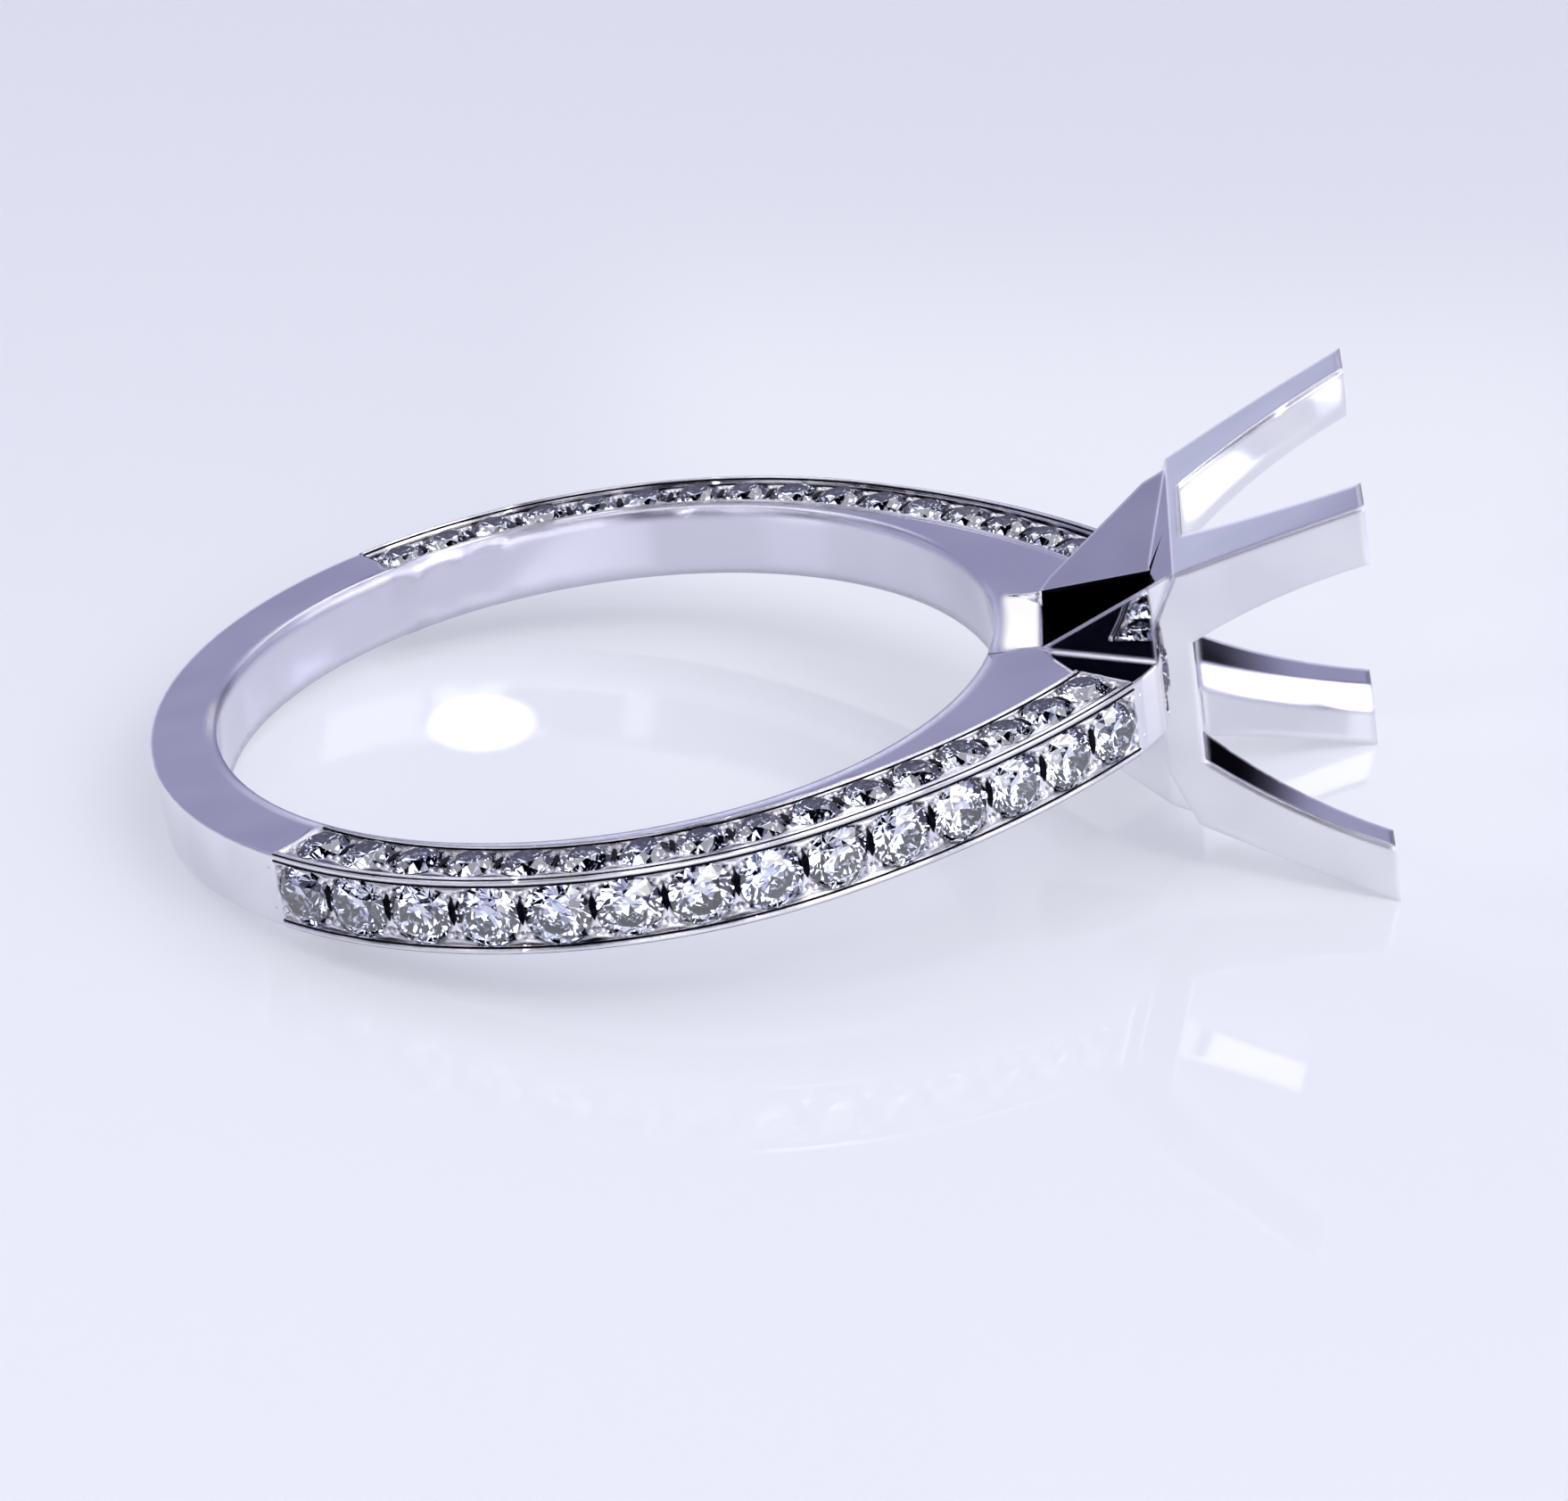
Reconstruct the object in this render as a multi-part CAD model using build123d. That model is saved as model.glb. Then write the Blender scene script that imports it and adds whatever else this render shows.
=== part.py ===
from build123d import *
import math
import os

# Millimetres and degrees. The ring is built flat, about the finger's axis:
# z runs along the finger, +x points to the head, +y to the far arm.
# At the end it is turned and set down on the surface that it lies on.

# Shank
finger_radius = 8.65         # finger hole, 17.3 mm across
band_height = 1.66           # along the finger
palm_wall = 1.45             # metal at the palm
side_wall = 1.80             # metal a quarter turn from the palm
shoulder_start = 62.0        # where an arm leaves the round, seen from its centre
shoulder_radius = 20.0       # the arm's bend from there to the head
arm_end_x = 11.80            # where the arm's outer edge stops
arm_end_run = 0.35           # length of the plain end strip towards the head
arm_end_y = 3.05             # half width where that strip meets the head

# Bridge that closes the finger hole under the head
bridge_wall = 1.05           # from the finger hole to the gallery
bridge_half = 1.45           # half its length across the ring
bridge_crown = 0.16          # how far its flanks fall below its crest
bridge_bite = 0.12           # how far its ends run into the gussets

# Head: a square block whose corners run out as four splayed prongs
head_base_x = 12.14          # underside of the block
head_base_half = 3.10        # half width there, across the ring
tip_x = 16.78                # prong tips
tip_half = 4.60              # half width over the prong tips
prong_bow = 0.03             # how far a prong's outer lines bow out
prong_width = 1.30           # at the tip
notch_floor_x = 12.95        # floor of the notches between the prongs
notch_half = 1.40            # half width of a notch at its floor
notch_bow = 0.17             # how far the walls of a notch bow apart
prong_chamfer = 0.45         # on each prong's inner corner
under_slope_z = 1.70         # half height of the block's slanted underside
under_slope_run = 0.55       # length of that slant along x
under_slope_top = 2.94       # half height of the block where the slant ends

# Legs from the bridge's corners to the block, with the gallery between them
gallery_half = 1.50          # half width of the gallery at the bridge
gallery_tip_x = 12.50        # where its walls meet
valley_z = 1.72              # height of the legs where they meet over the gallery
leg_foot_x = 9.90            # outer foot of a leg
leg_foot_half = 1.80
leg_top_half = 2.90          # half width over the legs at the block
leg_top_z = 2.82             # height of a leg's outer edge there
leg_top_x = 12.60

# Stones: one row on the outer face and one on each side face of an arm
field_start = 132.0          # where the rows start, seen from the round's centre
outer_stone = 1.36           # diameters
side_stone = 1.10
outer_pitch = 1.505          # wanted spacing along the rows
side_pitch = 1.235
stone_sides = 12             # facets round the crown and round the pavilion
table_share = 0.56           # of a stone's diameter
crown_share = 0.16
girdle_share = 0.04
pavilion_share = 0.40
table_proud = 0.03           # the table stands this far above the rails
seat_clearance = 0.02
rail = 0.14                  # polished rail left along each edge
side_field_depth = 0.92      # middle of a side row, in from the outer face
side_field_inner = 1.42      # inner edge of its recess, in from the outer face
field_end_margin = 0.30      # plain metal left at each end of a row
recess_depth = 0.09          # bright-cut floor round the stones

half = band_height / 2
palm_radius = finger_radius + palm_wall
side_radius = finger_radius + side_wall
outline_shift = (side_radius ** 2 - palm_radius ** 2) / (2 * palm_radius)
outline_radius = palm_radius + outline_shift
shoulder_shift = outline_radius - shoulder_radius
shoulder_centre = (outline_shift + shoulder_shift * math.cos(math.radians(shoulder_start)),
                   shoulder_shift * math.sin(math.radians(shoulder_start)))
arm_end_angle = math.degrees(math.acos((arm_end_x - shoulder_centre[0]) / shoulder_radius))
bridge_x = finger_radius + bridge_wall
reach = 2 * tip_half         # longer than any cut through the head


def arm_length(depth):
    """Length of a row's line that runs at this depth inside the outer face."""
    round_run = math.radians(field_start - shoulder_start) * (outline_radius - depth)
    shoulder_run = math.radians(shoulder_start - arm_end_angle) * (shoulder_radius - depth)
    return round_run + shoulder_run


def arm_place(length, depth):
    """Point on that line, on the far arm, and the angle that the face looks to there."""
    round_run = math.radians(field_start - shoulder_start) * (outline_radius - depth)
    if length <= round_run:
        centre = (outline_shift, 0)
        radius = outline_radius - depth
        angle = math.radians(field_start) - length / radius
    else:
        centre = shoulder_centre
        radius = shoulder_radius - depth
        angle = math.radians(shoulder_start) - (length - round_run) / radius
    return centre[0] + radius * math.cos(angle), centre[1] + radius * math.sin(angle), math.degrees(angle)


def arm_strip(depth_out, depth_in):
    """Plan face along the far arm between two depths, from the field's start to its end."""
    edges = []
    for depth in (depth_out, depth_in):
        edges.append(CenterArc((outline_shift, 0), outline_radius - depth,
                               shoulder_start, field_start - shoulder_start))
        edges.append(CenterArc(shoulder_centre, shoulder_radius - depth,
                               arm_end_angle, shoulder_start - arm_end_angle))
    for length in (0, 1):
        ends = [arm_place(length * arm_length(depth), depth)[:2] for depth in (depth_out, depth_in)]
        edges.append(Line(*ends))
    return make_face(edges)


def both_arms(shape):
    return [shape, mirror(shape, Plane.XZ)]


def slab():
    """Shank, shoulders and gussets: one flat outline, as high as the band."""
    turn = 360 - 2 * shoulder_start
    sweep = shoulder_start - arm_end_angle
    far_end = arm_place(arm_length(0), 0)
    corner_x = arm_end_x + arm_end_run
    edges = [CenterArc((outline_shift, 0), outline_radius, shoulder_start, turn)]
    for side in (1, -1):
        centre = (shoulder_centre[0], side * shoulder_centre[1])
        start = arm_end_angle if side > 0 else -shoulder_start
        edges.append(CenterArc(centre, shoulder_radius, start, sweep))
        edges.append(Line((far_end[0], side * far_end[1]), (corner_x, side * arm_end_y)))
    edges.append(Line((corner_x, -arm_end_y), (corner_x, arm_end_y)))
    return extrude(make_face(edges), amount=half, both=True)


def bridge():
    """Bar across the ring under the head, with a crowned top and underside."""
    inner_x = finger_radius - bridge_wall
    flank = half - bridge_crown
    middle_x = (inner_x + bridge_wall / 2 + bridge_x) / 2
    edges = []
    for side in (1, -1):
        edges.append(ThreePointArc((inner_x, side * flank), (middle_x, side * half), (bridge_x, side * flank)))
    for x in (inner_x, bridge_x):
        edges.append(Line((x, -flank), (x, flank)))
    profile = Plane.XZ * make_face(edges)
    return extrude(profile, amount=bridge_half + bridge_bite, both=True)


def head_outline(base_points):
    """Outline of the block and prongs: the given base, then the bowed line to the tips."""
    last = base_points[-1]
    middle = ((last[0] + tip_x) / 2, (last[1] + tip_half) / 2 + prong_bow)
    edges = []
    for side in (1, -1):
        points = [(x, side * y) for x, y in base_points]
        edges += [Line(a, b) for a, b in zip(points, points[1:])]
        edges.append(ThreePointArc(points[-1], (middle[0], side * middle[1]), (tip_x, side * tip_half)))
    edges.append(Line((tip_x, -tip_half), (tip_x, tip_half)))
    first = base_points[0]
    edges.append(Line((first[0], -first[1]), first))
    return make_face(edges)


def wedge(start_half, end_half, bow):
    """Flaring slot with bowed walls from the notch floor past the tips, cut through along z."""
    past = tip_x + prong_width
    middle = ((notch_floor_x + tip_x) / 2, (start_half + end_half) / 2 + bow)
    edges = [Line((notch_floor_x, -start_half), (notch_floor_x, start_half))]
    for side in (1, -1):
        end = (tip_x, side * end_half)
        edges.append(ThreePointArc((notch_floor_x, side * start_half), (middle[0], side * middle[1]), end))
        edges.append(Line(end, (past, side * end_half)))
    edges.append(Line((past, -end_half), (past, end_half)))
    return extrude(make_face(edges), amount=reach, both=True)


def head():
    """Block and prongs, notched from both sides and chamfered inside."""
    slope = [(head_base_x, under_slope_z), (head_base_x + under_slope_run, under_slope_top)]
    plan = extrude(head_outline([(head_base_x, head_base_half)]), amount=reach, both=True)
    side = extrude(head_outline(slope), amount=reach, both=True)
    body = plan & (Rot(90, 0, 0) * side)
    notch = wedge(notch_half, tip_half - prong_width, notch_bow)
    diagonal = math.sqrt(2)
    corner_base = (2 * notch_half + prong_chamfer) / diagonal
    corner_tip = (2 * (tip_half - prong_width) + prong_chamfer) / diagonal
    corner = wedge(corner_base, corner_tip, diagonal * notch_bow)
    inside = (Rot(45, 0, 0) * corner) & (Rot(-45, 0, 0) * corner)
    return body - notch - Rot(90, 0, 0) * notch - inside


def legs():
    """Four legs that rise from the bridge's corners to the block."""
    overlap_x = head_base_x + under_slope_run
    plan = make_face(Polyline((bridge_x - bridge_bite, 0), (bridge_x - bridge_bite, gallery_half),
                              (leg_foot_x, leg_foot_half), (head_base_x, leg_top_half),
                              (overlap_x, leg_top_half), (overlap_x, 0), close=True))
    block = extrude(plan, amount=reach)
    corner = Vector(bridge_x, gallery_half, half)
    valley = Vector(gallery_tip_x, 0, valley_z)
    crest = Vector(leg_top_x, leg_top_half, leg_top_z)
    up = (valley - corner).cross(crest - corner)
    above = Plane(origin=corner, z_dir=up) * Box(4 * reach, 4 * reach, reach,
                                                 align=(Align.CENTER, Align.CENTER, Align.MIN))
    leg = block - above
    pair = [leg, mirror(leg, Plane.XZ)]
    return pair + [mirror(one, Plane.XY) for one in pair]


def gallery():
    """Through opening between the bridge and the legs."""
    plan = make_face(Polyline((bridge_x, -gallery_half), (gallery_tip_x, 0),
                              (bridge_x, gallery_half), close=True))
    return extrude(plan, amount=reach, both=True)


def bridge_gap():
    """Room that the slab leaves for the crowned bridge."""
    inner_x = finger_radius - bridge_wall
    return Pos((inner_x + bridge_x) / 2, 0, 0) * Box(bridge_x - inner_x, 2 * bridge_half, 2 * band_height)


def row_places(diameter, pitch, depth):
    """Centres of a row's stones along its line, spread evenly at about the wanted pitch."""
    run = arm_length(depth) - 2 * field_end_margin - diameter
    gaps = round(run / pitch)
    first = field_end_margin + diameter / 2
    return [first + run * i / gaps for i in range(gaps + 1)]


def outer_planes(arm):
    """Planes of an arm's outer row: origin on the face, z out of the metal. arm is 1 far, -1 near."""
    planes = []
    for length in row_places(outer_stone, outer_pitch, 0):
        x, y, angle = arm_place(length, 0)
        out = (math.cos(math.radians(angle)), arm * math.sin(math.radians(angle)), 0)
        planes.append(Plane(origin=(x, arm * y, 0), x_dir=(0, 0, 1), z_dir=out))
    return planes


def side_planes(arm, face):
    """Planes of an arm's row on a side face. face is 1 for the upper one, -1 for the lower."""
    planes = []
    for length in row_places(side_stone, side_pitch, side_field_depth):
        x, y, angle = arm_place(length, side_field_depth)
        out = (math.cos(math.radians(angle)), arm * math.sin(math.radians(angle)), 0)
        planes.append(Plane(origin=(x, arm * y, face * half), x_dir=out, z_dir=(0, 0, face)))
    return planes


def stone(diameter):
    """Round brilliant in plain facets: table, crown, girdle and pavilion; z=0 is the metal's face."""
    table_z = table_proud
    girdle_top = table_z - crown_share * diameter
    girdle_low = girdle_top - girdle_share * diameter
    culet_z = girdle_low - pavilion_share * diameter

    def ring(radius, z):
        turn = 2 * math.pi / stone_sides
        return [(radius * math.cos(turn * (i + 0.5)), radius * math.sin(turn * (i + 0.5)), z)
                for i in range(stone_sides)]

    table = ring(table_share * diameter / 2, table_z)
    top = ring(diameter / 2, girdle_top)
    low = ring(diameter / 2, girdle_low)
    faces = [Face(Wire.make_polygon(table))]
    for i in range(stone_sides):
        j = (i + 1) % stone_sides
        faces.append(Face(Wire.make_polygon([table[i], top[i], top[j], table[j]])))
        faces.append(Face(Wire.make_polygon([top[i], low[i], low[j], top[j]])))
        faces.append(Face(Wire.make_polygon([low[i], (0, 0, culet_z), low[j]])))
    return Solid(Shell(faces))


def seat(diameter):
    """Cup that a stone drops into, with clearance all round."""
    radius = diameter / 2 + seat_clearance
    girdle_low = table_proud - (crown_share + girdle_share) * diameter
    tip = girdle_low - pavilion_share * diameter - 2 * seat_clearance
    shoulder = girdle_low - seat_clearance
    above = 2 * table_proud
    profile = Plane.XZ * make_face(Polyline((0, tip), (radius, shoulder), (radius, above), (0, above), close=True))
    return revolve(profile, Axis.Z)


def recesses():
    """Bright-cut floors round the stones of the far arm, between polished rails."""
    outer = extrude(arm_strip(-recess_depth, recess_depth), amount=half - rail, both=True)
    side = extrude(arm_strip(rail, side_field_inner), amount=recess_depth, both=True)
    cuts = [outer, Pos(0, 0, half) * side, Pos(0, 0, -half) * side]
    ends = [Pos(*arm_place(end * arm_length(0), 0)[:2], 0) * Rot(0, 0, arm_place(end * arm_length(0), 0)[2])
            * Box(4 * palm_wall, 2 * field_end_margin, 2 * band_height) for end in (0, 1)]
    return [cut - ends for cut in cuts]


def all_rows():
    """Every row by name: its stone's diameter and its planes."""
    rows = {}
    for arm_name, arm in (("near", -1), ("far", 1)):
        rows["stones_outer_" + arm_name] = (outer_stone, outer_planes(arm))
        rows["stones_upper_" + arm_name] = (side_stone, side_planes(arm, 1))
        rows["stones_lower_" + arm_name] = (side_stone, side_planes(arm, -1))
    return rows


def mount():
    """All the soldered metal as one solid."""
    metal = slab() - bridge_gap() + bridge() + head() + legs()
    metal -= Cylinder(finger_radius, 2 * reach)
    metal -= gallery()
    cuts = []
    for recess in recesses():
        cuts += both_arms(recess)
    metal -= cuts
    for diameter, planes in all_rows().values():
        cup = seat(diameter)
        metal -= [plane * cup for plane in planes]
    return metal


def resting():
    """Turn and shift that lay the ring on two prong tips and the palm's lower edge."""
    lean = math.atan2(tip_half - half, tip_x + palm_radius)
    low_x = -palm_radius * math.cos(lean) - half * math.sin(lean)
    high_x = tip_x * math.cos(lean) + tip_half * math.sin(lean)
    floor_z = tip_x * math.sin(lean) - tip_half * math.cos(lean)
    return Pos(-(low_x + high_x) / 2, 0, -floor_z) * Rot(0, -math.degrees(lean), 0)


os.makedirs("parts", exist_ok=True)
rest = resting()
export_step(rest * mount(), "parts/ring_mount.step")
for row_name, (row_diameter, row_planes) in all_rows().items():
    one_stone = stone(row_diameter)
    row = Compound(children=[rest * (plane * one_stone) for plane in row_planes])
    export_step(row, f"parts/{row_name}.step")
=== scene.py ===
import bpy
import math
from mathutils import Matrix, Vector


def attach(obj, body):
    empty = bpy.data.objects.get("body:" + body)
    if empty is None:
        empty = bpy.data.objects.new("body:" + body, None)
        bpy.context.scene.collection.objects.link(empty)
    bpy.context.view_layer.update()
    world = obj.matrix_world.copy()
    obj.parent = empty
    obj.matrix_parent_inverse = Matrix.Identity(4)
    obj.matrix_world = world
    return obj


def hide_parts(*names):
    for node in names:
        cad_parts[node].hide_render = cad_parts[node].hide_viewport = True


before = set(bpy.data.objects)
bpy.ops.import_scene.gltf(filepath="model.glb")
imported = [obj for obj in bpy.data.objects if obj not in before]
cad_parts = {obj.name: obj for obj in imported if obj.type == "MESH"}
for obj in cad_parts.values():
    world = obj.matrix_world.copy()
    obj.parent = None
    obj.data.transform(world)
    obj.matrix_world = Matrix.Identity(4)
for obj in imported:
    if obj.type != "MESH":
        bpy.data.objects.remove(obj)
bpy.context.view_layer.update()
scene = bpy.context.scene
print("frame loaded:", len(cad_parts), "nodes")


def toLinear(hexText, power=1.0):
    # sRGB hex to the linear values that Blender's sockets take
    parts = [int(hexText[i:i + 2], 16) / 255 for i in (0, 2, 4)]
    return [power * (p / 12.92 if p <= 0.04045 else ((p + 0.055) / 1.055) ** 2.4) for p in parts] + [1.0]


def addNode(tree, kind, values=None, links=None, **settings):
    # one node with its fields, its socket values and what feeds it
    node = tree.nodes.new(kind)
    for key, value in settings.items():
        setattr(node, key, value)
    for socket, value in (values or {}).items():
        node.inputs[socket].default_value = value
    for socket, source in (links or {}).items():
        tree.links.new(source, node.inputs[socket])
    return node


def softStep(tree, value, ends):
    # 0 at the first end and 1 at the second, eased at both
    step = addNode(tree, "ShaderNodeMapRange", {"From Min": ends[0], "From Max": ends[1]}, {"Value": value},
                   interpolation_type="SMOOTHSTEP")
    return step.outputs["Result"]


def spanMm(base, offsets):
    # the two ends of a border, given in millimetres, for a map range in metres
    return {"From Min": (base + offsets[0]) / 1000, "From Max": (base + offsets[1]) / 1000}


def setStops(ramp, places, hexTexts):
    while len(ramp.elements) > 1:
        ramp.elements.remove(ramp.elements[-1])
    ramp.elements[0].position, ramp.elements[0].color = places[0], toLinear(hexTexts[0])
    for place, hexText in zip(places[1:], hexTexts[1:]):
        ramp.elements.new(place).color = toLinear(hexText)


def newMaterial(name):
    material = bpy.data.materials.new(name)
    material.use_nodes = True
    material.node_tree.nodes.clear()
    return material, material.node_tree


def meshObject(name, vertices, faces, edges=(), smooth=False):
    mesh = bpy.data.meshes.new(name)
    mesh.from_pydata(vertices, edges, faces)
    mesh.validate()
    mesh.shade_smooth() if smooth else mesh.shade_flat()
    thing = bpy.data.objects.new(name, mesh)
    scene.collection.objects.link(thing)
    return thing


def ringPoints(count, radius, z, turn=0.0):
    # evenly spaced points on a level circle, turned by a share of a step
    angles = [2 * math.pi * (k + turn) / count for k in range(count)]
    return [(radius * math.cos(angle), radius * math.sin(angle), z) for angle in angles]


# the camera stands about 11 cm off and looks down by 25 degrees
cameraPlan = {
    "place": (0.0041547, -0.1040655, 0.0503016),
    "right": (0.99916897, 0.04021399, 0.00664868),
    "up": (-0.0231963, 0.42688, 0.90401073),
    "forward": (-0.03351569, 0.90341369, -0.42745807),
    "lens": 119.29,
    "sensor": 36.0,
    "clip": (0.002, 20.0),
}


def makeCamera(plan):
    data = bpy.data.cameras.new("camera")
    data.sensor_fit, data.sensor_width, data.lens = "HORIZONTAL", plan["sensor"], plan["lens"]
    data.clip_start, data.clip_end = plan["clip"]
    camera = bpy.data.objects.new("camera", data)
    scene.collection.objects.link(camera)
    turn = Matrix((plan["right"], plan["up"], [-f for f in plan["forward"]])).transposed()
    camera.matrix_world = Matrix.Translation(plan["place"]) @ turn.to_4x4()
    scene.camera = camera


makeCamera(cameraPlan)
scene.view_settings.view_transform = "Standard"
print("camera placed")


# the arms that carry the stones, in the ring's own frame: z along the finger, x to the head
armPlan = {                 # millimetres and degrees, the same values as the source
    "outlineShift": 0.3561,
    "outlineRadius": 10.4561,
    "shoulderCentre": (-4.1245, -8.4270),
    "shoulderRadius": 20.0,
    "fieldStart": 132.0,
    "shoulderStart": 62.0,
    "armEnd": 37.23,
    "half": 0.83,
    "recess": 0.09,
    "endMargin": 0.30,
    "lean": 7.983826,
    "centre": (-3.569, 0.0, 2.225),
    "fingerRadius": 8.65,
    "bridgeX": 9.70,
    "galleryHalf": 1.50,
    "galleryTip": 12.50,
}
rowPlan = {                 # millimetres; a stone is shown a little wider than its solid
    "outer": {"across": 1.36, "shown": 1.40, "pitch": 1.505, "depth": 0.0},
    "side": {"across": 1.10, "shown": 1.15, "pitch": 1.235, "depth": 0.92},
}
fields = [(face, arm, "outer" if face == "outer" else "side")
          for face in ("outer", "upper", "lower") for arm in ("near", "far")]
restTurn = Matrix.Translation(Vector(armPlan["centre"]) / 1000) @ Matrix.Rotation(
    -math.radians(armPlan["lean"]), 4, "Y")


def armLength(depth):
    plan = armPlan
    return (math.radians(plan["fieldStart"] - plan["shoulderStart"]) * (plan["outlineRadius"] - depth)
            + math.radians(plan["shoulderStart"] - plan["armEnd"]) * (plan["shoulderRadius"] - depth))


def armPlace(length, depth):
    # a point on the far arm's outline, and the angle that it faces
    plan = armPlan
    roundRadius = plan["outlineRadius"] - depth
    roundRun = math.radians(plan["fieldStart"] - plan["shoulderStart"]) * roundRadius
    if length <= roundRun:
        angle = math.radians(plan["fieldStart"]) - length / roundRadius
        centre, radius = (plan["outlineShift"], 0.0), roundRadius
    else:
        radius = plan["shoulderRadius"] - depth
        angle = math.radians(plan["shoulderStart"]) - (length - roundRun) / radius
        centre = plan["shoulderCentre"]
    return centre[0] + radius * math.cos(angle), centre[1] + radius * math.sin(angle), angle


def rowLengths(row):
    # middles of the stones along the arm
    run = armLength(row["depth"]) - 2 * armPlan["endMargin"] - row["across"]
    gaps = round(run / row["pitch"])
    return [armPlan["endMargin"] + row["across"] / 2 + k * run / gaps for k in range(gaps + 1)]


def gapLengths(row):
    # middles between the stones, and one past each end
    lengths = rowLengths(row)
    step = lengths[1] - lengths[0]
    return [lengths[0] - step / 2] + [length + step / 2 for length in lengths]


def onArm(depth, length, face, arm, sideways=0.0, height=0.0):
    # a point on a stone-set face, the way it looks and the way the row runs, in metres at rest
    x, y, angle = armPlace(length, depth)
    outward = Vector((math.cos(angle), math.sin(angle), 0))
    along = Vector((math.sin(angle), -math.cos(angle), 0))
    if face == "outer":
        point, facing = Vector((x, y, sideways)) + outward * height, outward
    else:
        up = 1 if face == "upper" else -1
        point = Vector((x, y, 0)) + outward * sideways + Vector((0, 0, up * (armPlan["half"] + height)))
        facing = Vector((0, 0, up))
    if arm == "near":
        point.y, facing.y, along.y = -point.y, -facing.y, -along.y
    turn = restTurn.to_3x3()
    return restTurn @ (point / 1000), (turn @ facing).normalized(), (turn @ along).normalized()


def floorPlaces(row, lengths, face, arm):
    # places on the sunk floor of a stone-set field
    return [onArm(row["depth"], length, face, arm, height=-armPlan["recess"]) for length in lengths]


def ringFrame(tree):
    # Object coordinates, and the same turned back into the ring's own frame
    place = addNode(tree, "ShaderNodeTexCoord")
    back = addNode(tree, "ShaderNodeMapping",
                   {"Location": Vector(armPlan["centre"]) / 1000,
                    "Rotation": (0.0, -math.radians(armPlan["lean"]), 0.0)},
                   {"Vector": place.outputs["Object"]}, vector_type="TEXTURE")
    return place.outputs["Object"], back.outputs["Vector"]


metalPlan = {
    "tone": "F3F2F4",        # 14 kt white gold under rhodium, cool and very bright
    "handled": "E6E5EA",     # the same metal a little duller where it has been handled
    "toneStops": (0.35, 0.65),
    "worn": "DAD8E4",        # painted shade: the finger hole's wall drawn darker and more lavender, where it lies in shade
    "wallShadeAndRoughMm": (0.08, 0.03),  # where that painted shade and the rougher finish fade out and where they are full, past the wall
    "wornRough": 0.07,       # how much rougher it is
    "hollow": "0B0B12",      # painted shade: the gallery's walls are drawn near black, where shade fills the opening
    "galleryShadeMm": (0.03, 0.01),  # the same two places past the gallery's walls
    "rippleMm": 2.4,         # width of the soft ripples that a felt wheel leaves
    "rippleDepthMm": 0.01,
    "rippleShare": 0.25,
    "scratchMm": 0.09,       # hairlines of the last polish, drawn coarser than they are
    "scratchStops": (0.3, 0.75),
    "rough": (0.02, 0.06),
    "edgeMm": 0.13,          # how far the wheel rounds an edge
    "prongEdgeMm": 0.23,     # the same on the prongs, which stand out to the wheel
    "prongEaseMm": (0.0, 0.5),
    "fingerEdgeMm": 0.45,    # the same at the finger hole, eased for comfort
    "fingerEaseMm": (0.70, 0.35),
    "edgeRays": 6,
}


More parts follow.
